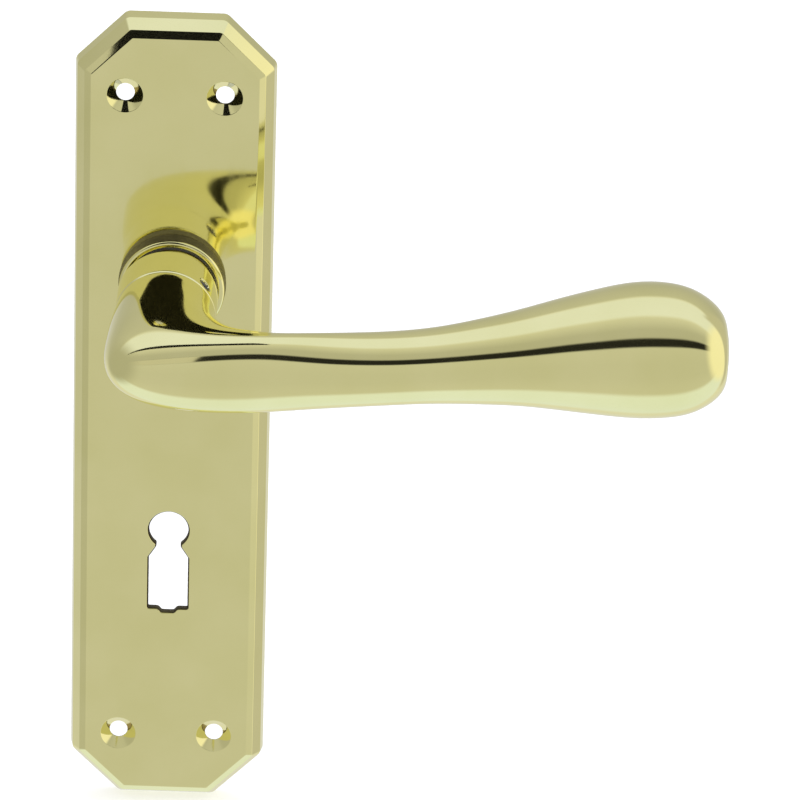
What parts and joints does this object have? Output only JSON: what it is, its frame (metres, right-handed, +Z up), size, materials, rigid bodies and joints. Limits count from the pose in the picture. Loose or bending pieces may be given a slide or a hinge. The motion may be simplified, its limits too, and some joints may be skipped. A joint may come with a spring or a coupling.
{
  "type": "lever door handle on backplate",
  "caption": "Sprung lever handle on a long octagonal backplate with a keyhole and countersunk fixing holes, turning a square spindle for a mortice lock.",
  "frame": {"origin": "where the spindle axis crosses the door face, in the plane of the backplate's rear rim", "axes": "+Z up, +Y into the door, -Y out of the door towards the hand; the lever points along +X"},
  "size_m": [0.1348, 0.1058, 0.18],
  "materials": {
    "polished_brass": "polished and lacquered",
    "plated_steel": "zinc plated",
    "bright_steel": "bright",
    "nylon": "moulded",
    "dark_nylon": "moulded"
  },
  "bodies": {
    "plate": {"backplate": "polished_brass", "neck_collar": "polished_brass", "neck_bush": "nylon", "spring_housing": "plated_steel", "housing_cover": "plated_steel", "housing_screws": "plated_steel", "stop_pins": "bright_steel", "stop_sleeves": "nylon", "spring_post": "bright_steel"},
    "handle": {"lever": "polished_brass", "grub_screw": "bright_steel", "spindle": "bright_steel", "thrust_washer": "dark_nylon", "drive_cam": "plated_steel", "drive_pin": "bright_steel", "slip_washer": "nylon", "spring_sleeve": "nylon", "return_spring": "bright_steel", "dished_washer": "bright_steel", "backing_washer": "bright_steel", "retaining_circlip": "bright_steel"}
  },
  "joints": [
    {"name": "lever_turn", "type": "hinge", "parent": "plate", "child": "handle", "pos_m": [0, 0, 0], "axis": [0, 1, 0], "range_deg": [0, 42], "stiffness_Nm_per_rad": 0.9, "springref_deg": -28.65, "deforming": ["return_spring"]}
  ]
}
